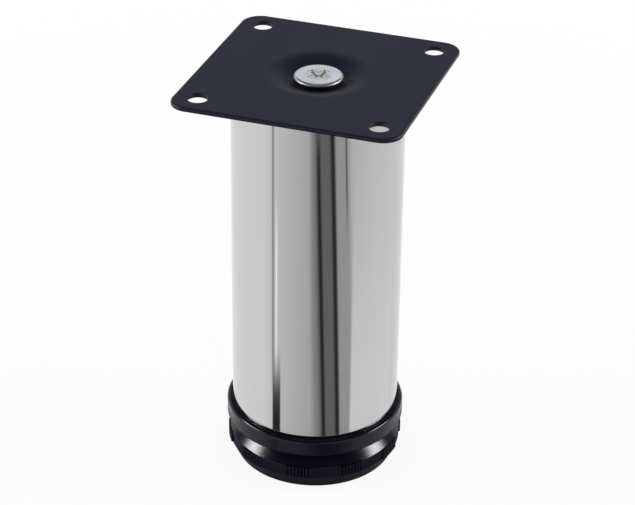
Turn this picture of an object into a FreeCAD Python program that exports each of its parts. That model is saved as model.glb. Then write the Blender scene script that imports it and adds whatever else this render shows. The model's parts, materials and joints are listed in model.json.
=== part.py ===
import FreeCAD, Part
import Sketcher
import os
import re

# Height adjustable furniture leg: a chrome tube under a screwed-on plate, with a plastic foot
# that turns on a spindle to raise or lower it. Millimetres, +Z up, the floor centre is the origin.

sizes = [
    # the whole leg, with its foot screwed in as far as it goes
    ("leg_height", 150),
    ("foot_travel", 20),
    # pressed steel mounting plate
    ("plate_side", 80),
    ("plate_thickness", 1.5),
    ("plate_corner", 7),
    ("plate_edge", 0.7),
    ("hole_margin", 8.5),
    ("hole_across", 7),
    ("dish_mouth", 32),
    ("dish_floor", 18.6),
    ("dish_depth", 2.4),
    ("dish_lip_bend", 16),
    ("dish_foot_bend", 1),
    # screw that holds the plate, and its nut
    ("screw_across", 8),
    ("screw_length", 16),
    ("screw_tip", 1),
    ("screw_hole", 8.6),
    ("head_across", 17),
    ("head_height", 2.2),
    ("head_round", 0.9),
    ("recess_across", 8.4),
    ("recess_width", 2.2),
    ("recess_depth", 1.5),
    ("recess_turn", -26.5),
    ("plug_nut_flats", 13),
    ("plug_nut_height", 6.5),
    # chrome tube
    ("tube_across", 60),
    ("tube_wall", 1),
    ("tube_edge", 0.3),
    # plug in the tube's upper end
    ("plug_height", 24),
    ("plug_wall", 2.2),
    ("plug_web", 4),
    ("plug_boss", 20),
    # guide in the tube's lower end, with the collar that shows
    ("collar_proud", 2),
    ("collar_height", 6.6),
    ("collar_lip", 1.3),
    ("collar_edge", 0.6),
    ("guide_wall", 3.25),
    ("guide_web", 4.5),
    ("guide_rim", 4),
    ("guide_hub", 24),
    ("guide_nut_flats", 16),
    ("guide_nut_height", 8.4),
    ("nut_recess", 0.6),
    ("nut_chamfer_angle", 30),
    # ribs of the two inserts
    ("insert_ribs", 6),
    ("insert_rib_width", 2),
    ("crush_ribs", 12),
    ("crush_rib_width", 1.2),
    ("crush_rib_depth", 0.4),
    # threaded spindle
    ("spindle_across", 10),
    ("spindle_hole", 10.8),
    ("spindle_spare", 2),
    ("spindle_tip", 1),
    ("flange_across", 18),
    ("flange_height", 3),
    ("flange_level", 7),
    # plastic foot
    ("foot_base", 57),
    ("foot_wall_height", 9.6),
    ("foot_taper_height", 5.2),
    ("foot_shell", 3),
    ("foot_base_edge", 0.8),
    ("foot_cavity", 5),
    ("foot_web", 3),
    ("foot_hub", 24),
    ("foot_hub_top", 18),
    ("foot_hub_lift", 0.6),
    ("foot_ribs", 8),
    ("foot_rib_width", 2),
    ("shoulder_rise", 5.3),
    ("shoulder_run", 4.3),
    ("neck_wall", 2.4),
    ("neck_length", 30),
    # grip pads round the foot
    ("pad_count", 10),
    ("pad_turn", -10),
    ("pad_inset", 0.4),
    ("pad_proud", 0.6),
    ("pad_height", 4.2),
    ("pad_ribs", 8),
    ("rib_pitch", 1.24),
    ("rib_crest", 0.6),
    ("rib_depth", 0.45),
    # fits
    ("thread_gap", 0.05),
    ("press_gap", 0.05),
    ("mould_gap", 0.05),
    ("nut_gap", 0.1),
    ("neck_gap", 0.3),
    ("stop_gap", 0.3),
]

doc = FreeCAD.newDocument("table_leg")
sheet = doc.addObject("Spreadsheet::Sheet", "Sizes")
for row, (alias, number) in enumerate(sizes, 1):
    sheet.set(f"A{row}", alias)
    sheet.set(f"B{row}", str(number))
    sheet.setAlias(f"B{row}", alias)
doc.recompute()

aliases = {alias for alias, number in sizes}


def bound(text):
    """The expression with each size's alias pointing at the sheet."""
    return re.sub(r"[a-z_]+", lambda m: f"Sizes.{m[0]}" if m[0] in aliases else m[0], text)


def value(text):
    """What an expression of sizes comes to now."""
    return float(sheet.evalExpression(text))


# Levels and radii that several pieces share
plate_under = "(leg_height - plate_thickness)"
dish_seat = "(leg_height - dish_depth)"
dish_under = "(leg_height - dish_depth - plate_thickness)"
hole_place = "(plate_side / 2 - hole_margin)"
plug_ceiling = f"({dish_under} - plug_web)"
tube_bore = "(tube_across / 2 - tube_wall)"
insert_radius = f"({tube_bore} - press_gap)"
skirt_radius = f"({tube_bore} - press_gap - crush_rib_depth)"
guide_bore = f"({skirt_radius} - guide_wall)"
neck_radius = f"({guide_bore} - neck_gap)"
neck_bore = f"({neck_radius} - neck_wall)"
collar_radius = "(tube_across / 2 + collar_proud)"
pad_reach = f"({collar_radius} - pad_inset)"
foot_radius = f"({pad_reach} - pad_proud)"
shoulder_top = "(foot_wall_height + shoulder_rise)"
collar_bottom = f"({shoulder_top} + stop_gap)"
collar_top = f"({collar_bottom} + collar_height)"
neck_top = f"({shoulder_top} + neck_length)"
guide_ceiling = f"({neck_top} + stop_gap)"
guide_top = f"({guide_ceiling} + guide_web)"
spindle_top = f"({guide_ceiling} + foot_travel + spindle_spare)"
foot_floor = "(foot_cavity + foot_web)"


def new_body(label):
    body = doc.addObject("PartDesign::Body", label)
    body.Label = label
    return body


def origin_part(body, role):
    return next(part for part in body.Origin.OriginFeatures if part.Role == role)


def new_sketch(body, name, plane, level=None, turn=None):
    """An empty sketch on one of the body's own planes, raised to a level and turned by degrees."""
    sketch = body.newObject("Sketcher::SketchObject", f"{body.Label}_{name}")
    sketch.AttachmentSupport = (origin_part(body, plane), [""])
    sketch.MapMode = "FlatFace"
    if level:
        sketch.setExpression(".AttachmentOffset.Base.z", bound(level))
    if turn:
        sketch.setExpression(".AttachmentOffset.Rotation.Angle", bound(turn))
    return sketch


def fix_point(sketch, line, end, across, up):
    """Ties a line's end to the sketch's origin by two sizes."""
    for kind, axis, text in (("DistanceX", -2, across), ("DistanceY", -1, up)):
        distance = value(text)
        if abs(distance) < 1e-9:
            sketch.addConstraint(Sketcher.Constraint("PointOnObject", line, end, axis))
        elif distance > 0:
            index = sketch.addConstraint(Sketcher.Constraint(kind, -1, 1, line, end, distance))
            sketch.setExpression(f"Constraints[{index}]", bound(text))
        else:
            index = sketch.addConstraint(Sketcher.Constraint(kind, line, end, -1, 1, -distance))
            sketch.setExpression(f"Constraints[{index}]", bound(f"-({text})"))


def outline(sketch, points):
    """A closed outline of straight lines through points given as pairs of expressions."""
    places = [FreeCAD.Vector(value(across), value(up), 0) for across, up in points]
    first = sketch.GeometryCount
    count = len(places)
    for index in range(count):
        line = Part.LineSegment(places[index], places[(index + 1) % count])
        sketch.addGeometry(line, False)
    for index in range(count):
        following = first + (index + 1) % count
        sketch.addConstraint(Sketcher.Constraint("Coincident", first + index, 2, following, 1))
    for index, (across, up) in enumerate(points):
        fix_point(sketch, first + index, 1, across, up)
    return sketch


def circle(sketch, radius, across="0", up="0"):
    """A circle whose centre and radius are expressions."""
    centre = FreeCAD.Vector(value(across), value(up), 0)
    normal = FreeCAD.Vector(0, 0, 1)
    index = sketch.addGeometry(Part.Circle(centre, normal, value(radius)), False)
    size = sketch.addConstraint(Sketcher.Constraint("Radius", index, value(radius)))
    sketch.setExpression(f"Constraints[{size}]", bound(radius))
    fix_point(sketch, index, 3, across, up)
    return sketch


def hexagon(sketch, flats):
    """A six-sided outline about the origin, by its width across flats."""
    half = f"({flats} / 2)"
    corner = f"({flats} / sqrt(3))"
    side = f"({flats} / sqrt(12))"
    return outline(sketch, [
        (corner, "0"),
        (side, half),
        (f"-{side}", half),
        (f"-{corner}", "0"),
        (f"-{side}", f"-{half}"),
        (side, f"-{half}"),
    ])


def new_feature(body, kind, name, sketch):
    feature = body.newObject(f"PartDesign::{kind}", f"{body.Label}_{name}")
    feature.Profile = sketch
    return feature


def computed(feature):
    """The feature once it has added or cut what it should."""
    base = feature.BaseFeature
    before = base.Shape.Volume if base else 0
    doc.recompute()
    added = feature.Shape.Volume - before
    cuts = feature.TypeId in ("PartDesign::Pocket", "PartDesign::Groove")
    if added == 0 or cuts == (added > 0):
        raise RuntimeError(f"{feature.Name} points the wrong way")
    return feature


def extruded(body, kind, name, sketch, length, reverse=False):
    """A pad or pocket of a sketch by a length, upwards or, for a pocket, downwards."""
    feature = new_feature(body, kind, name, sketch)
    feature.setExpression("Length", bound(length))
    feature.Reversed = reverse
    return computed(feature)


def turned(body, kind, name, points):
    """A full turn about the leg's axis of an outline given as radius and level."""
    sketch = outline(new_sketch(body, f"{name}_section", "XZ_Plane"), points)
    feature = new_feature(body, kind, name, sketch)
    feature.ReferenceAxis = (sketch, ["V_Axis"])
    feature.Angle = 360
    return computed(feature)


def round_pattern(body, name, feature, count):
    pattern = body.newObject("PartDesign::PolarPattern", f"{body.Label}_{name}")
    pattern.Originals = [feature]
    pattern.Axis = (origin_part(body, "Z_Axis"), [""])
    pattern.Angle = 360
    pattern.setExpression("Occurrences", bound(count))
    body.Tip = pattern
    doc.recompute()
    return pattern


def ring_edges(body, radius, level):
    """The names of the body's round edges of one radius at one level."""
    names = []
    for index, edge in enumerate(body.Shape.Edges, 1):
        curve = edge.Curve
        if not isinstance(curve, Part.Circle):
            continue
        if abs(curve.Radius - value(radius)) < 1e-4 and abs(curve.Center.z - value(level)) < 1e-4:
            names.append(f"Edge{index}")
    return names


def fillet(body, name, edges, radius):
    """Rounds edges of the body as it stands."""
    base = body.Tip
    feature = body.newObject("PartDesign::Fillet", f"{body.Label}_{name}")
    feature.Base = (base, edges)
    feature.setExpression("Radius", bound(radius))
    doc.recompute()
    return feature


def mounting_plate():
    body = new_body("mounting_plate")
    half = "(plate_side / 2)"
    square = outline(new_sketch(body, "square", "XY_Plane", plate_under), [
        (half, f"-{half}"),
        (half, half),
        (f"-{half}", half),
        (f"-{half}", f"-{half}"),
    ])
    extruded(body, "Pad", "sheet", square, "plate_thickness")
    corners = []
    for index, edge in enumerate(body.Shape.Edges, 1):
        if abs(edge.tangentAt(edge.FirstParameter).z) > 0.9:
            corners.append(f"Edge{index}")
    fillet(body, "corners", corners, "plate_corner")
    # the dish is pressed down, so the sheet keeps its thickness under it
    turned(body, "Revolution", "bulge", [
        ("0", dish_under),
        ("dish_floor / 2", dish_under),
        ("dish_mouth / 2", plate_under),
        ("0", plate_under),
    ])
    turned(body, "Groove", "dish", [
        ("0", dish_seat),
        ("dish_floor / 2", dish_seat),
        ("dish_mouth / 2", "leg_height"),
        ("0", "leg_height"),
    ])
    sides = (("upper", "leg_height", dish_seat), ("lower", plate_under, dish_under))
    for side, mouth, floor in sides:
        lip = ring_edges(body, "dish_mouth / 2", mouth)
        fillet(body, f"{side}_dish_lip", lip, "dish_lip_bend")
        foot = ring_edges(body, "dish_floor / 2", floor)
        fillet(body, f"{side}_dish_foot", foot, "dish_foot_bend")
    centre = circle(new_sketch(body, "centre", "XY_Plane", dish_under), "screw_hole / 2")
    extruded(body, "Pocket", "screw_hole", centre, "plate_thickness", True)
    corner_hole = circle(
        new_sketch(body, "corner", "XY_Plane", plate_under),
        "hole_across / 2", hole_place, hole_place,
    )
    hole = extruded(body, "Pocket", "corner_hole", corner_hole, "plate_thickness", True)
    round_pattern(body, "corner_holes", hole, "4")
    rim = []
    for index, edge in enumerate(body.Shape.Edges, 1):
        box = edge.BoundBox
        outside = max(abs(box.XMin), abs(box.XMax), abs(box.YMin), abs(box.YMax))
        if box.ZMin > value("leg_height") - 1e-4 and outside > value(half) - 1e-4:
            rim.append(f"Edge{index}")
    fillet(body, "top_edge", rim, "plate_edge")
    return body


def plate_screw():
    body = new_body("plate_screw")
    head_top = f"({dish_seat} + head_height)"
    tip = f"({dish_seat} - screw_length)"
    turned(body, "Revolution", "blank", [
        ("0", tip),
        ("screw_across / 2 - screw_tip", tip),
        ("screw_across / 2", f"{tip} + screw_tip"),
        ("screw_across / 2", dish_seat),
        ("head_across / 2", dish_seat),
        ("head_across / 2", head_top),
        ("0", head_top),
    ])
    fillet(body, "head_rim", ring_edges(body, "head_across / 2", head_top), "head_round")
    far = "(recess_across / 2)"
    near = "(recess_width / 2)"
    cross = outline(new_sketch(body, "cross", "XY_Plane", head_top, "recess_turn"), [
        (far, near),
        (near, near),
        (near, far),
        (f"-{near}", far),
        (f"-{near}", near),
        (f"-{far}", near),
        (f"-{far}", f"-{near}"),
        (f"-{near}", f"-{near}"),
        (f"-{near}", f"-{far}"),
        (near, f"-{far}"),
        (near, f"-{near}"),
        (far, f"-{near}"),
    ])
    extruded(body, "Pocket", "recess", cross, "recess_depth")
    return body


def hex_nut(label, flats, thread, height, top):
    """A nut below a level, with its corners turned off at both ends."""
    body = new_body(label)
    bottom = f"({top} - {height})"
    sketch = hexagon(new_sketch(body, "flats", "XY_Plane", bottom), flats)
    circle(sketch, f"{thread} / 2 + thread_gap")
    extruded(body, "Pad", "blank", sketch, height)
    inner = f"({flats} / 2)"
    outer = f"({flats} / sqrt(3) + nut_gap)"
    slope = f"(({outer} - {inner}) * tan(nut_chamfer_angle))"
    turned(body, "Groove", "lower_corners", [
        (inner, bottom),
        (outer, bottom),
        (outer, f"{bottom} + {slope}"),
    ])
    turned(body, "Groove", "upper_corners", [
        (inner, top),
        (outer, f"{top} - {slope}"),
        (outer, top),
    ])
    return body


def leg_tube():
    body = new_body("leg_tube")
    sketch = circle(new_sketch(body, "section", "XY_Plane", collar_top), "tube_across / 2")
    circle(sketch, tube_bore)
    extruded(body, "Pad", "tube", sketch, f"{plate_under} - {collar_top}")
    for name, level in (("lower_end", collar_top), ("upper_end", plate_under)):
        fillet(body, name, ring_edges(body, "tube_across / 2", level), "tube_edge")
    return body


def radial_ribs(body, name, start, end, level, length, count, width):
    """Straight ribs from one radius to another, standing on a level."""
    half = f"({width} / 2)"
    sketch = outline(new_sketch(body, f"{name}_plan", "XY_Plane", level), [
        (start, f"-{half}"),
        (end, f"-{half}"),
        (end, half),
        (start, half),
    ])
    rib = extruded(body, "Pad", name, sketch, length)
    return round_pattern(body, f"{name}_round", rib, count)


def hex_pocket(body, flats, bottom, depth):
    """A nut's seat, open at its bottom."""
    sketch = hexagon(new_sketch(body, "nut_seat", "XY_Plane", bottom), f"({flats} + 2 * nut_gap)")
    return extruded(body, "Pocket", "nut_pocket", sketch, depth, True)


def through_hole(body, name, radius, level, length):
    sketch = circle(new_sketch(body, name, "XY_Plane", level), radius)
    return extruded(body, "Pocket", f"{name}_cut", sketch, length, True)


def crush_ribs(body, level, length):
    """Narrow ribs on the skirt that grip the tube's bore."""
    return radial_ribs(
        body, "crush_rib", f"{skirt_radius} - crush_rib_depth", insert_radius,
        level, length, "crush_ribs", "crush_rib_width",
    )


def top_plug():
    body = new_body("top_plug")
    bottom = f"({plate_under} - plug_height)"
    inside = f"({skirt_radius} - plug_wall)"
    boss_bottom = f"({plug_ceiling} - plug_nut_height - nut_recess)"
    turned(body, "Revolution", "cup", [
        ("0", boss_bottom),
        ("plug_boss / 2", boss_bottom),
        ("plug_boss / 2", plug_ceiling),
        (inside, plug_ceiling),
        (inside, bottom),
        (skirt_radius, bottom),
        (skirt_radius, plate_under),
        (inside, plate_under),
        (inside, dish_under),
        ("0", dish_under),
    ])
    hex_pocket(body, "plug_nut_flats", boss_bottom, "plug_nut_height + nut_recess")
    through_hole(body, "screw_way", "screw_hole / 2", plug_ceiling, "plug_web")
    radial_ribs(
        body, "rib", "plug_boss / 2 - insert_rib_width / 2", f"{inside} + plug_wall / 2",
        boss_bottom, f"{plug_ceiling} - {boss_bottom}", "insert_ribs", "insert_rib_width",
    )
    crush_ribs(body, f"{bottom} + plug_wall", "plug_height - 2 * plug_wall")
    return body


def foot_guide():
    body = new_body("foot_guide")
    rim_top = f"({guide_top} + guide_rim)"
    hub_bottom = f"({guide_ceiling} - guide_nut_height - nut_recess)"
    turned(body, "Revolution", "shell", [
        ("0", hub_bottom),
        ("guide_hub / 2", hub_bottom),
        ("guide_hub / 2", guide_ceiling),
        (guide_bore, guide_ceiling),
        (guide_bore, collar_bottom),
        (collar_radius, collar_bottom),
        (collar_radius, collar_top),
        (skirt_radius, collar_top),
        (skirt_radius, rim_top),
        (guide_bore, rim_top),
        (guide_bore, guide_top),
        ("0", guide_top),
    ])
    fillet(body, "lip", ring_edges(body, collar_radius, collar_top), "collar_lip")
    fillet(body, "skirting", ring_edges(body, collar_radius, collar_bottom), "collar_edge")
    hex_pocket(body, "guide_nut_flats", hub_bottom, "guide_nut_height + nut_recess")
    through_hole(body, "spindle_way", "spindle_hole / 2", guide_ceiling, "guide_web")
    radial_ribs(
        body, "rib", "spindle_hole / 2 + insert_rib_width", f"{guide_bore} + crush_rib_depth",
        guide_top, "guide_rim", "insert_ribs", "insert_rib_width",
    )
    crush_ribs(body, collar_top, f"{rim_top} - {collar_top} - guide_rim")
    return body


def adjusting_spindle():
    body = new_body("adjusting_spindle")
    turned(body, "Revolution", "spindle", [
        ("0", "flange_level"),
        ("flange_across / 2", "flange_level"),
        ("flange_across / 2", "flange_level + flange_height"),
        ("spindle_across / 2", "flange_level + flange_height"),
        ("spindle_across / 2", f"{spindle_top} - spindle_tip"),
        ("spindle_across / 2 - spindle_tip", spindle_top),
        ("0", spindle_top),
    ])
    return body


def grip_pad(body):
    """One ribbed pad, drawn round the angle where the row of pads starts."""
    sunk = f"({foot_radius} - foot_shell / 2)"
    root = f"({pad_reach} - rib_depth)"
    edge = "(pad_ribs / 2 * rib_pitch)"
    ribs = int(value("pad_ribs"))

    def at(radius, offset):
        """A point at a radius, an arc length off the pad's middle."""
        turn = f"(pad_turn + ({offset}) / {pad_reach} * 180 / pi)"
        return f"{radius} * cos({turn})", f"{radius} * sin({turn})"

    points = [at(sunk, f"-{edge}")]
    for index in range(ribs):
        middle = f"({index} - (pad_ribs - 1) / 2) * rib_pitch"
        points.append(at(root, f"{middle} - rib_pitch / 2"))
        points.append(at(pad_reach, f"{middle} - rib_crest / 2"))
        points.append(at(pad_reach, f"{middle} + rib_crest / 2"))
    points.append(at(root, edge))
    points.append(at(sunk, edge))
    level = "(foot_wall_height - pad_height)"
    return outline(new_sketch(body, "pad_plan", "XY_Plane", level), points)


def under_ribs(body):
    """Ribs across the hollow base, from inside the hub to the middle of the sloping wall."""
    start = "(foot_hub / 2 - foot_rib_width / 2)"
    section = outline(new_sketch(body, "under_rib_section", "XZ_Plane"), [
        (start, "foot_hub_lift"),
        ("foot_base / 2 - foot_shell / 2", "foot_hub_lift"),
        (f"{foot_radius} - foot_shell / 2", "foot_cavity"),
        (start, "foot_cavity"),
    ])
    rib = new_feature(body, "Pad", "under_rib", section)
    rib.SideType = "Symmetric"
    rib.setExpression("Length", bound("foot_rib_width"))
    computed(rib)
    return round_pattern(body, "under_ribs", rib, "foot_ribs")


def adjusting_foot():
    body = new_body("adjusting_foot")
    turned(body, "Revolution", "shell", [
        ("0", "foot_hub_lift"),
        ("foot_hub / 2", "foot_hub_lift"),
        ("foot_hub / 2", "foot_cavity"),
        (f"{foot_radius} - foot_shell", "foot_cavity"),
        ("foot_base / 2 - foot_shell", "0"),
        ("foot_base / 2", "0"),
        (foot_radius, "foot_taper_height"),
        (foot_radius, "foot_wall_height"),
        (f"{foot_radius} - shoulder_run", shoulder_top),
        (neck_radius, shoulder_top),
        (neck_radius, neck_top),
        (neck_bore, neck_top),
        (neck_bore, foot_floor),
        ("foot_hub / 2", foot_floor),
        ("foot_hub / 2", "foot_hub_top"),
        ("0", "foot_hub_top"),
    ])
    fillet(body, "base_edge", ring_edges(body, "foot_base / 2", "0"), "foot_base_edge")
    under_ribs(body)
    turned(body, "Groove", "spindle_seat", [
        ("0", "flange_level - mould_gap"),
        ("flange_across / 2 + mould_gap", "flange_level - mould_gap"),
        ("flange_across / 2 + mould_gap", "flange_level + flange_height + mould_gap"),
        ("spindle_across / 2 + mould_gap", "flange_level + flange_height + mould_gap"),
        ("spindle_across / 2 + mould_gap", "foot_hub_top"),
        ("0", "foot_hub_top"),
    ])
    pad = extruded(body, "Pad", "pad", grip_pad(body), "pad_height")
    round_pattern(body, "pads", pad, "pad_count")
    return body


bodies = [
    mounting_plate(),
    plate_screw(),
    top_plug(),
    hex_nut("plug_nut", "plug_nut_flats", "screw_across", "plug_nut_height", plug_ceiling),
    leg_tube(),
    foot_guide(),
    hex_nut("guide_nut", "guide_nut_flats", "spindle_across", "guide_nut_height", guide_ceiling),
    adjusting_spindle(),
    adjusting_foot(),
]
doc.recompute()

for item in doc.Objects:
    if "Invalid" in item.State or "Error" in item.State:
        raise RuntimeError(f"{item.Label} failed: {item.State}")
for body in bodies:
    if body.Shape.isNull() or not body.Shape.isValid() or len(body.Shape.Solids) != 1:
        raise RuntimeError(f"{body.Label} is not one sound solid")

os.makedirs("parts", exist_ok=True)
for body in bodies:
    body.Shape.exportStep(f"parts/{body.Label}.step")
    box = body.Shape.optimalBoundingBox(True, False)
    print(f"{body.Label}: {body.Shape.Volume:.1f} mm3, z {box.ZMin:.2f} to {box.ZMax:.2f}")
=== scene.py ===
import bmesh
import bpy
import json
from math import atan2, ceil, cos, pi, radians, sin, sqrt, tan
from mathutils import Matrix, Vector

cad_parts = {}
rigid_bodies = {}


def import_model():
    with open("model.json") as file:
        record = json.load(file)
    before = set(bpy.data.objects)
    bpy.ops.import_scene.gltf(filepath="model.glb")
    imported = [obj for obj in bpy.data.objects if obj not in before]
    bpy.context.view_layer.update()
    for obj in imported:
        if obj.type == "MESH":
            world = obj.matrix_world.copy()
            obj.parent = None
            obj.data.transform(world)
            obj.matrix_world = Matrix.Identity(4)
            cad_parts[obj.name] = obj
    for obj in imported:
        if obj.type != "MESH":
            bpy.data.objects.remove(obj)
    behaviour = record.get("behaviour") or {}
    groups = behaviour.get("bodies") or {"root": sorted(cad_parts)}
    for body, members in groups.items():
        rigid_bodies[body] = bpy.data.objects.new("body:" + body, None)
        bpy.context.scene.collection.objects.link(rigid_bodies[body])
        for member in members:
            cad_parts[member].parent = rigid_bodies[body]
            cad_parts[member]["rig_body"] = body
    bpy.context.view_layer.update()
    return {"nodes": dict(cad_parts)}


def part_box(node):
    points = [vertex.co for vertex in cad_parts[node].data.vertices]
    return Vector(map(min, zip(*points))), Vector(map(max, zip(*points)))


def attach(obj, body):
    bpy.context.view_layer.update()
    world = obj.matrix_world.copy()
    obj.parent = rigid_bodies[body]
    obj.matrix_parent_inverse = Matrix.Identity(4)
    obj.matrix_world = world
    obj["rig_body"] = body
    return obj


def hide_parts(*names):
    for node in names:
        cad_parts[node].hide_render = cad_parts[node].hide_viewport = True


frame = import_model()
nodes = frame["nodes"]
scene = bpy.context.scene
mm = 0.001
print("frame loaded:", ", ".join(sorted(nodes)))


class Flow:  # a node socket that can stand in a sum
    def __init__(self, tree, socket=None):
        self.tree = tree
        self.socket = socket

    def node(self, kind, settings={}, inputs={}, output=0):
        made = self.tree.nodes.new(kind)
        for name, setting in settings.items():
            if name == "stops":
                setStops(made.color_ramp, setting)
            else:
                setattr(made, name, setting)
        for key, given in inputs.items():
            if isinstance(given, Flow):
                self.tree.links.new(given.socket, made.inputs[key])
            else:
                made.inputs[key].default_value = given
        return Flow(self.tree, made.outputs[output] if made.outputs else None)

    def other(self, output):  # another output of the same node
        return Flow(self.tree, self.socket.node.outputs[output])

    def maths(self, operation, first, second):
        return self.node("ShaderNodeMath", {"operation": operation}, {0: first, 1: second})

    def __add__(self, number):
        return self.maths("ADD", self, number)

    def __radd__(self, number):
        return self.maths("ADD", number, self)

    def __sub__(self, number):
        return self.maths("SUBTRACT", self, number)

    def __rsub__(self, number):
        return self.maths("SUBTRACT", number, self)

    def __mul__(self, number):
        return self.maths("MULTIPLY", self, number)

    def __rmul__(self, number):
        return self.maths("MULTIPLY", number, self)

    def __truediv__(self, number):
        return self.maths("DIVIDE", self, number)

    def __rtruediv__(self, number):
        return self.maths("DIVIDE", number, self)


def setStops(ramp, stops):
    while len(ramp.elements) > 1:
        ramp.elements.remove(ramp.elements[-1])
    for index, (place, level) in enumerate(stops):
        stop = ramp.elements[0] if index == 0 else ramp.elements.new(place)
        stop.position = place
        stop.color = (level, level, level, 1)


def startMaterial(name):
    material = bpy.data.materials.new(name)
    material.use_nodes = True
    material.node_tree.nodes.clear()
    return material, Flow(material.node_tree)


def endMaterial(flow, inputs):
    surface = flow.node("ShaderNodeBsdfPrincipled", {}, inputs)
    flow.node("ShaderNodeOutputMaterial", {}, {"Surface": surface})


def inMillimetres(flow):  # the piece's own coordinates
    place = flow.node("ShaderNodeTexCoord", output="Object")
    return flow.node("ShaderNodeVectorMath", {"operation": "SCALE"}, {0: place, "Scale": 1 / mm})


def grain(flow, place, size, detail=2.0, distortion=0.0):  # noise with features of a size
    noise = {"Vector": place, "Scale": 1 / size, "Detail": detail, "Distortion": distortion}
    return flow.node("ShaderNodeTexNoise", {}, noise)


def swing(noise, spread):  # either side of the noise's middle
    return (noise - 0.5) * spread


def relief(flow, finish, height):
    depth = {"Strength": finish["bump"], "Distance": finish["bumpDepth"], "Height": height}
    return flow.node("ShaderNodeBump", {}, depth)


def blendColour(flow, share, first, second):
    return flow.node("ShaderNodeMix", {"data_type": "RGBA"}, {0: share, 6: first, 7: second}, 2)


def smoothStep(flow, value, low, high):
    settings = {"interpolation_type": "SMOOTHSTEP"}
    return flow.node("ShaderNodeMapRange", settings, {"Value": value, 1: low, 2: high})


def between(flow, value, low, high, soft):
    above = smoothStep(flow, value, low - soft, low + soft)
    return above * smoothStep(flow, value, high + soft, high - soft)


def rayKinds(flow):  # seen by the camera, and mirrored or refracted
    camera = flow.node("ShaderNodeLightPath", output="Is Camera Ray")
    shiny = flow.maths("MAXIMUM", camera.other("Is Glossy Ray"), camera.other("Is Transmission Ray"))
    return camera, shiny


# black powder coat: an even satin skin with a fine orange peel
paint = {
    "dark": (0.0058, 0.0060, 0.0205, 1),
    "light": (0.0076, 0.0078, 0.0245, 1),
    "roughness": 0.45,
    "cloudRoughness": 0.08,
    "gritRoughness": 0.06,
    "cloudSize": 14.0,
    "peelSize": 0.9,
    "gritSize": 0.16,
    "peelShare": 0.75,
    "bump": 0.16,
    "bumpDepth": 0.06 * mm,
    "ior": 1.38,
}


def platePaint():
    material, flow = startMaterial("platePaint")
    place = inMillimetres(flow)
    cloud = grain(flow, place, paint["cloudSize"], 3.0)
    peel = grain(flow, place, paint["peelSize"], 1.0)
    grit = grain(flow, place, paint["gritSize"], 2.0)
    height = peel * paint["peelShare"] + grit * (1 - paint["peelShare"])
    uneven = swing(cloud, paint["cloudRoughness"]) + swing(grit, paint["gritRoughness"])
    endMaterial(flow, {
        "Base Color": blendColour(flow, cloud, paint["dark"], paint["light"]),
        "Roughness": paint["roughness"] + uneven,
        "Normal": relief(flow, paint, height),
        "IOR": paint["ior"],
    })
    return material


# bright zinc: a thin plated skin over turned steel
zinc = {
    "cool": (0.75, 0.76, 0.77, 1),
    "warm": (0.76, 0.76, 0.74, 1),
    # the rim and recess colours: duller zinc, made darker still as painted shade on the rim and in
    # the recess
    "dullAndShaded": (0.43, 0.43, 0.41, 1),
    "recessFilmAndShade": (0.56, 0.56, 0.53, 1),
    # painted shade: the near-black colour where the rim sits in the dish
    "seat": (0.012, 0.014, 0.018, 1),
    "roughness": 0.22,
    "dullRoughness": 0.46,
    "cloudRoughness": 0.10,
    "speckRoughness": 0.06,
    "dullMetal": 0.85,
    "pitMetal": 0.45,
    "cloudSize": 2.6,
    "speckSize": 0.35,
    "turningPitch": 0.22,
    "turningWobble": 4.0,
    "turningShare": 0.2,
    "bump": 0.10,
    "bumpDepth": 0.03 * mm,
    "flatDepth": (0.25, 0.05),  # millimetres below the head's top
    "wornRadius": (5.2, 3.4),
    "wornShare": 0.6,
    "rimRadius": (5.2, 5.6),
    "seatShadeDepth": (3.0, 0.75),
    "seatShadeSoft": 0.35,
}


def zincPlate():
    material, flow = startMaterial("zincPlate")
    place = inMillimetres(flow)
    cloud = grain(flow, place, zinc["cloudSize"], 4.0, 0.4)
    speck = grain(flow, place, zinc["speckSize"], 3.0)
    axes = flow.node("ShaderNodeSeparateXYZ", {}, {"Vector": place})
    across = axes * axes + axes.other("Y") * axes.other("Y")
    radius = flow.maths("SQRT", across, 0.0)
    winding = radius * (2 * pi / zinc["turningPitch"]) + cloud * zinc["turningWobble"]
    rings = flow.maths("SINE", winding, 0.0)
    height = rings * zinc["turningShare"] + speck * (1 - zinc["turningShare"])
    # only the head's flat top is bright: worn round the recess, and duller in the recess and on the
    # rim, where painted shade darkens the colour too; where the rim sits in the dish it is painted
    # near-black, a painted shade standing in for the dark dish it mirrors
    top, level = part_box("plate_screw")[1].z / mm, axes.other("Z")
    flat = smoothStep(flow, level, *[top - depth for depth in zinc["flatDepth"]])
    worn = smoothStep(flow, radius, *zinc["wornRadius"]) * zinc["wornShare"]
    rim = smoothStep(flow, radius, *zinc["rimRadius"])
    # painted shade and reflection: the rim is painted near-black below the top, where it sits in the
    # dish and mirrors the dark plate
    paintedSeatShade = rim * between(flow, level, *[top - depth for depth in zinc["seatShadeDepth"]], zinc["seatShadeSoft"])
    roughness = zinc["dullRoughness"] + flat * (zinc["roughness"] - zinc["dullRoughness"])
    polished = blendColour(flow, cloud, zinc["cool"], zinc["warm"])
    # duller colours off the flat top, darkened as painted shade in the recess and on the rim
    dullAndShaded = blendColour(flow, rim, zinc["recessFilmAndShade"], zinc["dullAndShaded"])
    colour = blendColour(flow, flat - flat * worn, dullAndShaded, polished)
    metal = zinc["pitMetal"] + rim * (zinc["dullMetal"] - zinc["pitMetal"])
    uneven = swing(cloud, zinc["cloudRoughness"]) + swing(speck, zinc["speckRoughness"])
    endMaterial(flow, {
        "Base Color": blendColour(flow, paintedSeatShade, colour, zinc["seat"]),
        "Metallic": metal + flat * (1 - metal),
        "Roughness": roughness + uneven,
        "Normal": relief(flow, zinc, height),
    })
    return material


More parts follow.
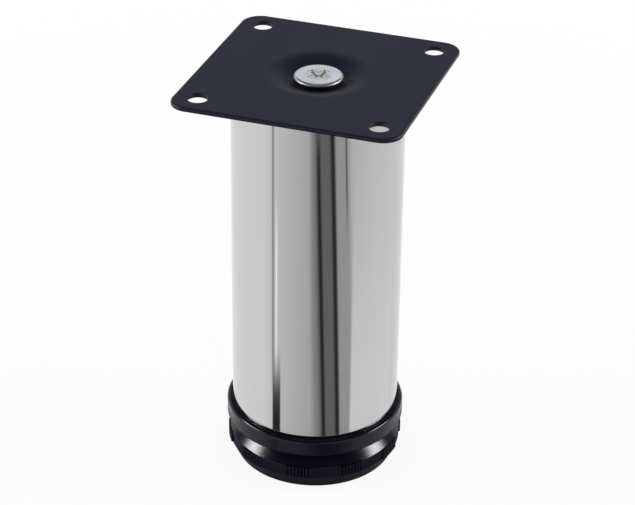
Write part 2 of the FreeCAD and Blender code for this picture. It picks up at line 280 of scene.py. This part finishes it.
# mirror chrome over a tube that was polished along its length
chrome = {
    "colour": (0.560, 0.560, 0.563, 1),
    "bloom": (0.540, 0.540, 0.543, 1),
    # painted shade: the tube's cut end where it meets the collar
    "shadedCutEnd": (0.10, 0.10, 0.11, 1),
    "roughness": 0.035,
    "lineRoughness": 0.02,
    "cloudRoughness": 0.015,
    "cutRoughness": 0.45,
    "cutFade": (0.22, 0.40),  # millimetres above the tube's lower end
    "lineSize": 0.5,
    "lineStretch": 60.0,
    "cloudSize": 18.0,
    "bump": 0.02,
    "bumpDepth": 0.02 * mm,
}


def chromePlate():
    material, flow = startMaterial("chromePlate")
    place = inMillimetres(flow)
    squash = (1.0, 1.0, 1 / chrome["lineStretch"])
    along = flow.node("ShaderNodeVectorMath", {"operation": "MULTIPLY"}, {0: place, 1: squash})
    lines = grain(flow, along, chrome["lineSize"], 3.0)
    cloud = grain(flow, place, chrome["cloudSize"], 3.0)
    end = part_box("leg_tube")[0].z / mm
    level = flow.node("ShaderNodeSeparateXYZ", {}, {"Vector": place}, "Z")
    # the cut end in the collar is rough bare steel, painted dark as shade in the joint
    side = smoothStep(flow, level, *[end + lift for lift in chrome["cutFade"]])
    polish = blendColour(flow, cloud, chrome["colour"], chrome["bloom"])
    haze = lines * chrome["lineRoughness"] + cloud * chrome["cloudRoughness"]
    roughness = chrome["roughness"] + haze
    endMaterial(flow, {
        "Base Color": blendColour(flow, side, chrome["shadedCutEnd"], polish),
        "Metallic": 1.0,
        "Roughness": chrome["cutRoughness"] + side * (roughness - chrome["cutRoughness"]),
        "Normal": relief(flow, chrome, lines),
    })
    return material


# moulded black plastic with a polished tool's gloss
plastic = {
    "dark": (0.0022, 0.0017, 0.0080, 1),
    "light": (0.0034, 0.0027, 0.0105, 1),
    "roughness": 0.20,
    "cloudRoughness": 0.08,
    "skinRoughness": 0.05,
    "cloudSize": 7.0,
    "skinSize": 0.25,
    "cloudShare": 0.3,
    "bump": 0.05,
    "bumpDepth": 0.03 * mm,
    "ior": 1.5,
    "specular": 0.35,
}


def blackPlastic():
    material, flow = startMaterial("blackPlastic")
    place = inMillimetres(flow)
    cloud = grain(flow, place, plastic["cloudSize"], 3.0, 0.6)
    skin = grain(flow, place, plastic["skinSize"], 2.0)
    height = cloud * plastic["cloudShare"] + skin * (1 - plastic["cloudShare"])
    uneven = swing(cloud, plastic["cloudRoughness"]) + swing(skin, plastic["skinRoughness"])
    endMaterial(flow, {
        "Base Color": blendColour(flow, cloud, plastic["dark"], plastic["light"]),
        "Roughness": plastic["roughness"] + uneven,
        "Normal": relief(flow, plastic, height),
        "IOR": plastic["ior"],
        "Specular IOR Level": plastic["specular"],
    })
    return material


# plain black moulding with a spark-eroded skin
plug = {
    "dark": (0.012, 0.012, 0.014, 1),
    "light": (0.022, 0.022, 0.024, 1),
    "roughness": 0.55,
    "skinRoughness": 0.2,
    "skinSize": 0.3,
    "bump": 0.25,
    "bumpDepth": 0.03 * mm,
}


def plugPlastic():
    material, flow = startMaterial("plugPlastic")
    skin = grain(flow, inMillimetres(flow), plug["skinSize"], 3.0)
    endMaterial(flow, {
        "Base Color": blendColour(flow, skin, plug["dark"], plug["light"]),
        "Roughness": plug["roughness"] + swing(skin, plug["skinRoughness"]),
        "Normal": relief(flow, plug, skin),
    })
    return material


finishes = {
    "plate_paint": platePaint(),
    "zinc_plate": zincPlate(),
    "tube_chrome": chromePlate(),
    "black_plastic": blackPlastic(),
    "plug_plastic": plugPlastic(),
}
print("finishes made:", ", ".join(finishes))


weld = 0.002 * mm
hold = 0.12 * mm  # how far beside a rounded edge the next point stands
roundSteps = 256
threadSteps = 48
edgeFacet = radians(11)
sharpAngle = radians(32)


def roundedPath(corners, facet=edgeFacet):
    # corners are (radius, level, round): an arc takes the corner's place, with a point held beside it
    path = []
    for index, (across, level, bend) in enumerate(corners):
        here = Vector((across, level))
        before = Vector(corners[index - 1][:2]) - here
        after = Vector(corners[(index + 1) % len(corners)][:2]) - here
        if bend == 0:
            path.append(here)
            continue
        half = before.angle(after) / 2
        reach = bend / tan(half)
        before.normalize()
        after.normalize()
        centre = here + (before + after).normalized() * (bend / sin(half))
        first = here + before * reach - centre
        last = here + after * reach - centre
        start = atan2(first.y, first.x)
        sweep = (atan2(last.y, last.x) - start + pi) % (2 * pi) - pi
        steps = max(2, ceil(abs(sweep) / facet))
        path.append(here + before * (reach + hold))
        for step in range(steps + 1):
            turn = start + sweep * step / steps
            path.append(centre + bend * Vector((cos(turn), sin(turn))))
        path.append(here + after * (reach + hold))
    return path


def roundColumns(path, count=roundSteps):
    turns = [2 * pi * index / count for index in range(count)]
    return [[(r * cos(turn), r * sin(turn), z) for r, z in path] for turn in turns]


def skinOver(bm, columns, around=True, closed=True):  # faces between neighbouring columns of points
    rows = [[bm.verts.new(point) for point in column] for column in columns]
    pairs = list(zip(rows, rows[1:]))
    if around:
        pairs.append((rows[-1], rows[0]))
    for left, right in pairs:
        for index in range(len(left) if closed else len(left) - 1):
            following = (index + 1) % len(left)
            bm.faces.new((left[index], right[index], right[following], left[following]))
    bmesh.ops.remove_doubles(bm, verts=bm.verts[:], dist=weld)


def prism(bm, outline, low, high):  # upright solid on an outline
    lower = [bm.verts.new((x, y, low)) for x, y in outline]
    upper = [bm.verts.new((x, y, high)) for x, y in outline]
    bm.faces.new(lower[::-1])
    bm.faces.new(upper)
    for index in range(len(outline)):
        following = (index + 1) % len(outline)
        bm.faces.new((lower[index], lower[following], upper[following], upper[index]))


def newMesh(name, bm):
    bmesh.ops.recalc_face_normals(bm, faces=bm.faces[:])
    mesh = bpy.data.meshes.new(name)
    bm.to_mesh(mesh)
    bm.free()
    made = bpy.data.objects.new(name, mesh)
    scene.collection.objects.link(made)
    return made


def combine(target, tool, operation):  # one solid of two; the tool is used up
    step = target.modifiers.new(operation, "BOOLEAN")
    step.operation = operation
    step.object = tool
    step.solver = "MANIFOLD"
    view = bpy.context.evaluated_depsgraph_get()
    result = bpy.data.meshes.new_from_object(target.evaluated_get(view))
    target.modifiers.clear()
    target.data = result
    bpy.data.objects.remove(tool)


def dress(piece, node, slotName):  # finish, smooth shading, and the body it rides on
    piece.data.materials.clear()
    piece.data.materials.append(finishes[slotName])
    piece.data.shade_smooth()
    piece.data.set_sharp_from_angle(angle=sharpAngle)
    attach(piece, nodes[node]["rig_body"])
    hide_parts(node)
    print("piece made:", piece.name, len(piece.data.polygons), "faces")


def barOutline(start, end, width, turn):  # a straight rib's plan, at an angle
    corners = [(start, -width / 2), (end, -width / 2), (end, width / 2), (start, width / 2)]
    return [turned(x, y, turn) for x, y in corners]


def turned(x, y, turn):
    return x * cos(turn) - y * sin(turn), x * sin(turn) + y * cos(turn)


def hexOutline(flats):
    return [turned(flats / sqrt(3), 0, radians(60 * index)) for index in range(6)]


# square steel plate with a dish pressed into it
plate = {
    "sheet": 1.5 * mm,
    "cornerRound": 7.0 * mm,
    "edgeRound": 0.7 * mm,
    "underRound": 0.15 * mm,
    "holeMargin": 8.5 * mm,
    "holeRadius": 3.5 * mm,
    "holeEdge": 0.3 * mm,
    "dishMouth": 16.0 * mm,
    "dishFloor": 9.3 * mm,
    "dishDepth": 2.4 * mm,
    "dishLipBend": 16.0 * mm,
    "dishFootBend": 1.0 * mm,
    "screwHole": 4.3 * mm,
    "dishFacet": radians(2.5),
    "cornerSteps": 16,
    "edgeSteps": 8,
    "holeSteps": 48,
}


def squareLoop(half, corner):  # rounded square, counter-clockwise
    loop = []
    for quarter in range(4):
        for step in range(plate["cornerSteps"] + 1):
            turn = radians(90) * step / plate["cornerSteps"]
            spot = half - corner + corner * cos(turn), half - corner + corner * sin(turn)
            loop.append(turned(*spot, radians(90 * quarter)))
    return loop


def circleLoop(radius, count, centre=(0, 0)):
    turns = [2 * pi * index / count for index in range(count)]
    return [(centre[0] + radius * cos(turn), centre[1] + radius * sin(turn)) for turn in turns]


def ring(bm, loop, level):
    return [bm.verts.new((x, y, level)) for x, y in loop]


def bridge(bm, rings):
    for first, second in zip(rings, rings[1:]):
        for index in range(len(first)):
            following = (index + 1) % len(first)
            bm.faces.new((first[index], first[following], second[following], second[index]))


def fillBetween(bm, rings):  # a flat face with holes in it
    edges = []
    for loop in rings:
        for index in range(len(loop)):
            pair = loop[index - 1], loop[index]
            edges.append(bm.edges.get(pair) or bm.edges.new(pair))
    bmesh.ops.triangle_fill(bm, use_beauty=True, use_dissolve=False, edges=edges)


def makePlate():
    low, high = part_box("mounting_plate")
    top, half = high.z, high.x
    under = top - plate["sheet"]
    bm = bmesh.new()
    edge, lower, corner = plate["edgeRound"], plate["underRound"], plate["cornerRound"]
    turns = [radians(90) * step / plate["edgeSteps"] for step in range(plate["edgeSteps"] + 1)]
    levels = [(edge + hold, top)]
    levels += [(edge - edge * sin(turn), top - edge + edge * cos(turn)) for turn in turns]
    levels += [(lower - lower * cos(turn), under + lower - lower * sin(turn)) for turn in turns[::4]]
    levels += [(lower + hold, under)]
    outer = [ring(bm, squareLoop(half - inset, corner - inset), z) for inset, z in levels]
    bridge(bm, outer)
    topRings, underRings = [outer[0]], [outer[-1]]
    place, bore, brim = half - plate["holeMargin"], plate["holeRadius"], plate["holeEdge"]
    for quarter in range(4):
        centre = turned(place, place, radians(90 * quarter))
        lip = bore + brim
        wall = [(lip + hold, top), (lip, top)]
        wall += [(lip - brim * sin(turn), top - brim + brim * cos(turn)) for turn in turns[2::2]]
        wall += [(bore, under)]
        hole = [ring(bm, circleLoop(radius, plate["holeSteps"], centre), z) for radius, z in wall]
        bridge(bm, hole)
        topRings.append(hole[0])
        underRings.append(hole[-1])
    mouth, floor, depth = plate["dishMouth"], plate["dishFloor"], plate["dishDepth"]
    outside = 2 * mouth
    upper = roundedPath([
        (outside, top, 0),
        (mouth, top, plate["dishLipBend"]),
        (floor, top - depth, plate["dishFootBend"]),
        (plate["screwHole"], top - depth, 0),
    ], plate["dishFacet"])
    below = roundedPath([
        (plate["screwHole"], low.z, 0),
        (floor, low.z, plate["dishFootBend"]),
        (mouth, under, plate["dishLipBend"]),
        (outside, under, 0),
    ], plate["dishFacet"])
    dish = [ring(bm, circleLoop(r, roundSteps), z) for r, z in upper[1:] + below[:-1]]
    bridge(bm, dish)
    topRings.append(dish[0])
    underRings.append(dish[-1])
    fillBetween(bm, topRings)
    fillBetween(bm, underRings)
    dress(newMesh("plateSheet", bm), "mounting_plate", "plate_paint")


def threadColumns(rod, bottom, top):
    # a ridge that winds up the rod, cut off flat at both ends and chamfered there
    root, crest, tip = rod["root"], rod["crest"], rod["tipRadius"]
    profile = [(0.0, root), (0.25, root), (0.5625, crest), (0.6875, crest)]  # shares of the pitch
    winds = ceil((top - bottom) / rod["pitch"])
    columns = []
    for index in range(threadSteps + 1):
        around = index / threadSteps
        column = [(0, 0, bottom)]
        for wind in range(-1, winds + 1):
            for share, radius in profile:
                level = bottom + (wind + share + around) * rod["pitch"]
                kept = min(max(level, bottom), top)
                chamfer = tip + min(kept - bottom, top - kept) if kept == level else tip
                reach = min(radius, chamfer)
                column.append((reach * cos(2 * pi * around), reach * sin(2 * pi * around), kept))
        column.append((0, 0, top))
        columns.append(column)
    return columns


# low round head with a cross recess, on a threaded shank
screw = {
    "headHeight": 2.2 * mm,
    "headRound": 0.9 * mm,
    "underRound": 0.15 * mm,
    "recessReach": 4.2 * mm,
    "recessWidth": 2.2 * mm,
    "recessDepth": 1.5 * mm,
    "recessTaper": 0.72,
    "mouthEdge": 0.12 * mm,
    "recessTurn": radians(-26.5),
    "pitch": 1.25 * mm,
    "crest": 4.0 * mm,
    "root": 3.25 * mm,
    "tipRadius": 3.0 * mm,
    "shankInset": 0.4 * mm,
}


def crossLoop(reach, width, turn):
    quarter = [(reach, -width / 2), (reach, width / 2), (width / 2, width / 2)]
    spots = [turned(x, y, radians(90 * side)) for side in range(4) for x, y in quarter]
    return [turned(x, y, turn) for x, y in spots]


def makeScrew():
    low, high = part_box("plate_screw")
    reach, top = high.x, high.z
    seat = top - screw["headHeight"]
    rim = roundedPath([
        (0, seat, 0),
        (reach, seat, screw["underRound"]),
        (reach, top, screw["headRound"]),
        (0, top, 0),
    ])
    bm = bmesh.new()
    head = [ring(bm, circleLoop(r, roundSteps), z) for r, z in rim[1:-1]]
    bridge(bm, head)
    bm.faces.new(head[0][::-1])
    wide, deep = screw["recessWidth"], screw["recessDepth"]
    lip, taper = screw["mouthEdge"], screw["recessTaper"]
    walls = [
        (screw["recessReach"] + lip, wide + 2 * lip, top),
        (screw["recessReach"], wide, top - lip),
        (screw["recessReach"] * taper, wide * taper, top - deep),
    ]
    recess = [ring(bm, crossLoop(arm, width, screw["recessTurn"]), z) for arm, width, z in walls]
    bridge(bm, recess)
    bm.faces.new(recess[-1])
    fillBetween(bm, [head[-1], recess[0]])
    made = newMesh("plateScrew", bm)
    shank = bmesh.new()
    skinOver(shank, threadColumns(screw, low.z, seat + screw["shankInset"]), False, False)
    combine(made, newMesh("shank", shank), "UNION")
    dress(made, "plate_screw", "zinc_plate")


# drawn tube with its ends broken
tube = {"wall": 1.0 * mm, "outerEdge": 0.3 * mm, "innerEdge": 0.12 * mm, "steps": 384}


def makeTube():
    low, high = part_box("leg_tube")
    reach, bore = high.x, high.x - tube["wall"]
    bm = bmesh.new()
    skinOver(bm, roundColumns(roundedPath([
        (bore, low.z, tube["innerEdge"]),
        (reach, low.z, tube["outerEdge"]),
        (reach, high.z, tube["outerEdge"]),
        (bore, high.z, tube["innerEdge"]),
    ]), tube["steps"]))
    dress(newMesh("chromeTube", bm), "leg_tube", "tube_chrome")


# insert in the tube's lower end; its collar is what shows
guide = {
    "collarHeight": 6.6 * mm,
    "collarLip": 1.3 * mm,
    "collarEdge": 0.6 * mm,
    "bore": 25.3 * mm,
    "skirt": 28.55 * mm,
    "insert": 28.95 * mm,
    "rim": 4.0 * mm,
    "web": 4.5 * mm,
    "hub": 12.0 * mm,
    "spindleHole": 5.4 * mm,
    "nutFlats": 16.2 * mm,
    "nutDepth": 9.0 * mm,
    "ribs": 6,
    "ribWidth": 2.0 * mm,
    "crushRibs": 12,
    "crushWidth": 1.2 * mm,
    "smallEdge": 0.25 * mm,
}


def makeGuide():
    low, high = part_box("foot_guide")
    collarTop = low.z + guide["collarHeight"]
    webTop = high.z - guide["rim"]
    ceiling = webTop - guide["web"]
    hubBottom = ceiling - guide["nutDepth"]
    small = guide["smallEdge"]
    bm = bmesh.new()
    skinOver(bm, roundColumns(roundedPath([
        (guide["spindleHole"], hubBottom, 0),
        (guide["hub"], hubBottom, small),
        (guide["hub"], ceiling, small),
        (guide["bore"], ceiling, small),
        (guide["bore"], low.z, small),
        (high.x, low.z, guide["collarEdge"]),
        (high.x, collarTop, guide["collarLip"]),
        (guide["skirt"], collarTop, 0),
        (guide["skirt"], high.z, small),
        (guide["bore"], high.z, small),
        (guide["bore"], webTop, 0),
        (guide["spindleHole"], webTop, 0),
    ])))
    made = newMesh("collarGuide", bm)
    ribs = bmesh.new()
    start, end = guide["spindleHole"] + guide["ribWidth"], guide["bore"] + small
    for index in range(guide["ribs"]):
        plan = barOutline(start, end, guide["ribWidth"], 2 * pi * index / guide["ribs"])
        prism(ribs, plan, webTop - small, high.z - small)
    for index in range(guide["crushRibs"]):
        turn = 2 * pi * index / guide["crushRibs"]
        plan = barOutline(guide["skirt"] - small, guide["insert"], guide["crushWidth"], turn)
        prism(ribs, plan, collarTop - small, webTop)
    combine(made, newMesh("ribs", ribs), "UNION")
    seat = bmesh.new()
    prism(seat, hexOutline(guide["nutFlats"]), hubBottom - small, ceiling)
    combine(made, newMesh("nutSeat", seat), "DIFFERENCE")
    dress(made, "foot_guide", "black_plastic")


# threaded spindle with a round flange that the foot is moulded over
spindle = {
    "flangeRadius": 9.0 * mm,
    "flangeHeight": 3.0 * mm,
    "flangeEdge": 0.3 * mm,
    "pitch": 1.5 * mm,
    "crest": 5.0 * mm,
    "root": 4.08 * mm,
    "tipRadius": 4.0 * mm,
    "shaftInset": 0.5 * mm,
}


def makeSpindle():
    low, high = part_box("adjusting_spindle")
    shoulder = low.z + spindle["flangeHeight"]
    bm = bmesh.new()
    skinOver(bm, roundColumns(roundedPath([
        (0, low.z, 0),
        (spindle["flangeRadius"], low.z, spindle["flangeEdge"]),
        (spindle["flangeRadius"], shoulder, spindle["flangeEdge"]),
        (0, shoulder, 0),
    ])))
    made = newMesh("threadedSpindle", bm)
    shaft = bmesh.new()
    skinOver(shaft, threadColumns(spindle, shoulder - spindle["shaftInset"], high.z), False, False)
    combine(made, newMesh("shaft", shaft), "UNION")
    dress(made, "adjusting_spindle", "zinc_plate")


# hollow foot with a neck, turned by its ribbed grip pads
foot = {
    "wall": 31.0 * mm,
    "base": 28.5 * mm,
    "wallTop": 9.6 * mm,
    "taperTop": 5.2 * mm,
    "shell": 3.0 * mm,
    "baseEdge": 0.8 * mm,
    "wallEdge": 0.25 * mm,
    "cavity": 5.0 * mm,
    "floor": 8.0 * mm,
    "hub": 12.0 * mm,
    "hubTop": 18.0 * mm,
    "hubLift": 0.6 * mm,
    "ribs": 8,
    "ribWidth": 2.0 * mm,
    "shoulder": 14.9 * mm,
    "shoulderRun": 4.3 * mm,
    "neck": 25.0 * mm,
    "neckWall": 2.4 * mm,
    "neckEdge": 0.5 * mm,
    "seatGap": 0.05 * mm,
}

pads = {
    "count": 10,
    "turn": radians(-10),
    "reach": 31.6 * mm,
    "height": 4.2 * mm,
    "ribs": 8,
    "pitch": 1.24 * mm,
    "crest": 0.6 * mm,
    "depth": 0.45 * mm,
}


def padOutline(turn):  # ribbed on its outer side, sunk into the foot's wall
    def at(radius, offset):
        return turned(radius, 0, turn + offset / pads["reach"])

    paintedSeatShade, root = foot["wall"] - foot["shell"] / 2, pads["reach"] - pads["depth"]
    half = pads["ribs"] * pads["pitch"] / 2
    spots = [at(paintedSeatShade, -half)]
    for index in range(pads["ribs"]):
        middle = (index + 0.5) * pads["pitch"] - half
        spots.append(at(root, middle - pads["pitch"] / 2))
        spots.append(at(pads["reach"], middle - pads["crest"] / 2))
        spots.append(at(pads["reach"], middle + pads["crest"] / 2))
    return spots + [at(root, half), at(paintedSeatShade, half)]


def makeFoot():
    low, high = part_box("adjusting_foot")
    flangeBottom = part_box("adjusting_spindle")[0].z
    gap = foot["seatGap"]
    seatRadius = spindle["flangeRadius"] + gap
    shaftRadius = spindle["crest"] + gap
    seatTop = flangeBottom + spindle["flangeHeight"] + gap
    bore = foot["neck"] - foot["neckWall"]
    bm = bmesh.new()
    skinOver(bm, roundColumns(roundedPath([
        (0, foot["hubLift"], 0),
        (foot["hub"], foot["hubLift"], foot["wallEdge"]),
        (foot["hub"], foot["cavity"], foot["wallEdge"]),
        (foot["wall"] - foot["shell"], foot["cavity"], foot["wallEdge"]),
        (foot["base"] - foot["shell"], low.z, foot["wallEdge"]),
        (foot["base"], low.z, foot["baseEdge"]),
        (foot["wall"], foot["taperTop"], foot["wallEdge"]),
        (foot["wall"], foot["wallTop"], foot["wallEdge"]),
        (foot["wall"] - foot["shoulderRun"], foot["shoulder"], foot["wallEdge"]),
        (foot["neck"], foot["shoulder"], foot["wallEdge"]),
        (foot["neck"], high.z, foot["neckEdge"]),
        (bore, high.z, foot["neckEdge"]),
        (bore, foot["floor"], foot["wallEdge"]),
        (foot["hub"], foot["floor"], foot["wallEdge"]),
        (foot["hub"], foot["hubTop"], foot["wallEdge"]),
        (shaftRadius, foot["hubTop"], 0),
        (shaftRadius, seatTop, 0),
        (seatRadius, seatTop, 0),
        (seatRadius, flangeBottom - gap, 0),
        (0, flangeBottom - gap, 0),
    ])))
    made = newMesh("ribbedFoot", bm)
    grips = bmesh.new()
    for index in range(pads["count"]):
        outline = padOutline(pads["turn"] + 2 * pi * index / pads["count"])
        prism(grips, outline, foot["wallTop"] - pads["height"], foot["wallTop"])
    combine(made, newMesh("grips", grips), "UNION")
    webs = bmesh.new()
    start, end = foot["hub"] - foot["ribWidth"] / 2, foot["base"] - foot["shell"] / 2
    reach, ceiling = foot["wall"] - foot["shell"] / 2, foot["cavity"] + foot["wallEdge"]
    lift = foot["hubLift"]
    section = [(start, lift), (end, lift), (reach, ceiling), (start, ceiling)]
    for index in range(foot["ribs"]):
        turn = 2 * pi * index / foot["ribs"]
        sides = []
        for side in (-foot["ribWidth"] / 2, foot["ribWidth"] / 2):
            sides.append([webs.verts.new((*turned(x, side, turn), z)) for x, z in section])
        webs.faces.new(sides[0])
        webs.faces.new(sides[1][::-1])
        bridge(webs, sides)
    combine(made, newMesh("webs", webs), "UNION")
    dress(made, "adjusting_foot", "black_plastic")


makePlate()
makeScrew()
makeTube()
makeGuide()
makeSpindle()
makeFoot()

# what stays inside keeps its own shape
inside = {"top_plug": "plug_plastic", "plug_nut": "zinc_plate", "guide_nut": "zinc_plate"}
for node, slotName in inside.items():
    nodes[node].data.materials.clear()
    nodes[node].data.materials.append(finishes[slotName])
print("inner parts finished")


# camera, a long lens from above and a little to the right
viewer = {
    "turn": radians(18.49),
    "rise": radians(29.60),
    "distance": 0.7951,
    "aimHeight": 0.0805,
    "aimSide": 0.34 * mm,
    "roll": radians(0.665),
    "focalPixels": 2249.7,
    "imageWidth": 635,
}
towardsViewer = Vector((sin(viewer["turn"]), -cos(viewer["turn"]), 0))
viewerRight = Vector((cos(viewer["turn"]), sin(viewer["turn"]), 0))


def makeCamera():
    lens = bpy.data.cameras.new("camera")
    lens.lens = viewer["focalPixels"] * lens.sensor_width / viewer["imageWidth"]
    back = towardsViewer * cos(viewer["rise"]) + Vector((0, 0, sin(viewer["rise"])))
    up = back.cross(viewerRight)
    aim = viewerRight * viewer["aimSide"] + Vector((0, 0, viewer["aimHeight"]))
    side = viewerRight * cos(viewer["roll"]) + up * sin(viewer["roll"])
    head = up * cos(viewer["roll"]) - viewerRight * sin(viewer["roll"])
    camera = bpy.data.objects.new("camera", lens)
    scene.collection.objects.link(camera)
    turn = Matrix((side, head, back)).transposed()
    camera.matrix_world = Matrix.Translation(aim + back * viewer["distance"]) @ turn.to_4x4()
    scene.camera = camera


# what the chrome mirrors: pale paper all round, with dark screens on the viewer's side
studio = {
    "paper": [  # walls: degrees round from the viewer, to the right, and how bright
        (-180, 0.95), (-120, 1.05), (-75, 1.05), (-60, 0.9), (-10, 0.65), (-5, 0.4), (0, 0.3),
        (1, 0.2), (24, 0.2), (25, 0.5), (45, 0.5), (50, 0.75), (90, 0.9), (180, 0.95),
    ],
    "lean": 115,  # how far the upright edges on the right lean, in degrees for each unit of height
    "leanLevel": -0.5,
    "leanFrom": (-24, 10),
    "fill": 0.58,
    "dark": (0.04, 0.04, 0.05, 1),
    "lowFade": (-0.60, -0.557),
    "highFade": (0.20, 0.03),
    "back": (0.99, 1.02, 1.10, 1),
    "backFade": (-0.2, -0.6),
    "backRise": (0.33, 0.49),
    "backSoft": 0.035,
    "above": (0.50, 0.50, 0.52, 1),
    "aboveFade": (0.93, 0.985),
}

# what stands in front of the walls: where, in degrees and height, how soft, how bright
strips = [
    {"span": (-62, -59), "soft": 1, "rise": (-0.54, 0), "fade": 0.01, "glow": 0.4},
    {"span": (-56, -54), "soft": 1, "rise": (-0.54, -0.48), "fade": 0.01, "glow": 1.5},
    {"span": (-61, -49), "soft": 1, "rise": (-1, -0.54), "fade": 0.01, "glow": 0.02},
    {"span": (3, 8), "soft": 1.5, "rise": (-1, -0.45), "fade": 0.01, "glow": 0.03, "leans": 1},
    {"span": (22, 28), "soft": 2, "rise": (-1, 0), "fade": 0.01, "glow": 0.03, "leans": 1},
    {"span": (42, 44), "soft": 1, "rise": (-0.48, 0), "fade": 0.01, "glow": 0.1, "leans": 1},
    {"span": (50, 125), "soft": 2, "rise": (-1, -0.5), "fade": 0.05, "glow": 1},
]


def makeWorld():
    world = bpy.data.worlds.new("studio")
    scene.world = world
    world.use_nodes = True
    world.node_tree.nodes.clear()
    flow = Flow(world.node_tree)
    ray = flow.node("ShaderNodeTexCoord", output="Generated")
    dot = {"operation": "DOT_PRODUCT"}
    ahead = flow.node("ShaderNodeVectorMath", dot, {0: ray, 1: towardsViewer}, "Value")
    right = flow.node("ShaderNodeVectorMath", dot, {0: ray, 1: viewerRight}, "Value")
    height = flow.node("ShaderNodeSeparateXYZ", {}, {"Vector": ray}, "Z")
    upright = flow.maths("ARCTAN2", right, ahead) * (180 / pi)
    leans = smoothStep(flow, upright, *studio["leanFrom"]) * studio["lean"]
    leaning = upright + (height - studio["leanLevel"]) * leans
    stops = [(degrees / 360 + 0.5, level) for degrees, level in studio["paper"]]
    room = flow.node("ShaderNodeValToRGB", {"stops": stops}, {"Fac": leaning / 360 + 0.5})
    for strip in strips:
        turn = leaning if "leans" in strip else upright
        across = between(flow, turn, *strip["span"], strip["soft"])
        share = across * between(flow, height, *strip["rise"], strip["fade"])
        room = blendColour(flow, share, room, (strip["glow"],) * 3 + (1,))
    walls = smoothStep(flow, height, *studio["lowFade"])
    walls = walls * smoothStep(flow, height, *studio["highFade"])
    room = blendColour(flow, walls, studio["dark"], room)
    band = between(flow, height, *studio["backRise"], studio["backSoft"])
    behind = smoothStep(flow, ahead, *studio["backFade"]) * band
    room = blendColour(flow, behind, room, studio["back"])
    room = blendColour(flow, smoothStep(flow, height, *studio["aboveFade"]), room, studio["above"])
    plain = flow.node("ShaderNodeBackground", {}, {"Color": (1, 1, 1, 1), "Strength": studio["fill"]})
    mirrored = flow.node("ShaderNodeBackground", {}, {"Color": room})
    white = flow.node("ShaderNodeBackground", {}, {"Color": (1, 1, 1, 1)})
    camera, shiny = rayKinds(flow)
    lit = flow.node("ShaderNodeMixShader", {}, {0: shiny, 1: plain, 2: mirrored})
    seen = flow.node("ShaderNodeMixShader", {}, {0: camera, 1: lit, 2: white})
    flow.node("ShaderNodeOutputWorld", {}, {"Surface": seen})


# two soft boxes, low at the sides
softBoxes = {
    "leftBox": {"turn": -88, "rise": 24.3, "power": 10.4},
    "rightBox": {"turn": 89, "rise": 24.3, "power": 10.4},
}
boxFrame = {"distance": 1.4, "width": 0.62, "height": 0.17}


def makeLamps():
    for name, place in softBoxes.items():
        lamp = bpy.data.lights.new(name, "AREA")
        lamp.shape = "RECTANGLE"
        lamp.size, lamp.size_y = boxFrame["width"], boxFrame["height"]
        lamp.energy = place["power"]
        box = bpy.data.objects.new(name, lamp)
        scene.collection.objects.link(box)
        turn, rise = radians(place["turn"]), radians(place["rise"])
        flat = towardsViewer * cos(turn) + viewerRight * sin(turn)
        away = flat * cos(rise) + Vector((0, 0, sin(rise)))
        box.location = away * boxFrame["distance"]
        box.rotation_mode = "QUATERNION"
        box.rotation_quaternion = away.to_track_quat("Z", "Y")
        box.visible_camera = False


# pale floor that stays under the foot; what shines sees the studio in it, and its shade close by
ground = {
    "radius": 6.0,
    "steps": 96,
    "colour": (0.88, 0.88, 0.88, 1),
    "roughness": 0.9,
    "specular": 0.2,
    "glow": 0.89,
    "whiteFrom": (120.0, 500.0),  # millimetres from the middle, where it runs out into white
    "shade": (0.25, 0.25, 0.25, 1),
    "shadeFrom": (42.0, 50.0),
}


def makeFloor():
    material, flow = startMaterial("floorPaper")
    camera, shiny = rayKinds(flow)
    place = inMillimetres(flow)
    away = flow.node("ShaderNodeVectorMath", {"operation": "LENGTH"}, {0: place}, "Value")
    paper = flow.node("ShaderNodeBsdfPrincipled", {}, {
        "Base Color": ground["colour"],
        "Roughness": ground["roughness"],
        "Specular IOR Level": ground["specular"],
    })
    glow = flow.node("ShaderNodeEmission", {}, {"Color": (1, 1, 1, 1), "Strength": 1.0})
    clean = smoothStep(flow, away, *ground["whiteFrom"])
    white = camera * (ground["glow"] + clean * (1 - ground["glow"]))
    seen = flow.node("ShaderNodeMixShader", {}, {0: white, 1: paper, 2: glow})
    far = smoothStep(flow, away, *ground["shadeFrom"])
    shade = flow.node("ShaderNodeBsdfDiffuse", {}, {"Color": ground["shade"]})
    clear = flow.node("ShaderNodeBsdfTransparent")
    mirrored = flow.node("ShaderNodeMixShader", {}, {0: far, 1: shade, 2: clear})
    mixed = flow.node("ShaderNodeMixShader", {}, {0: shiny, 1: seen, 2: mirrored})
    flow.node("ShaderNodeOutputMaterial", {}, {"Surface": mixed})
    bm = bmesh.new()
    bmesh.ops.create_circle(bm, cap_ends=True, segments=ground["steps"], radius=ground["radius"])
    floor = newMesh("floor", bm)
    floor.data.materials.append(material)
    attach(floor, "spindle")


makeCamera()
makeWorld()
makeLamps()
makeFloor()
scene.view_settings.view_transform = "Standard"
print("studio made")
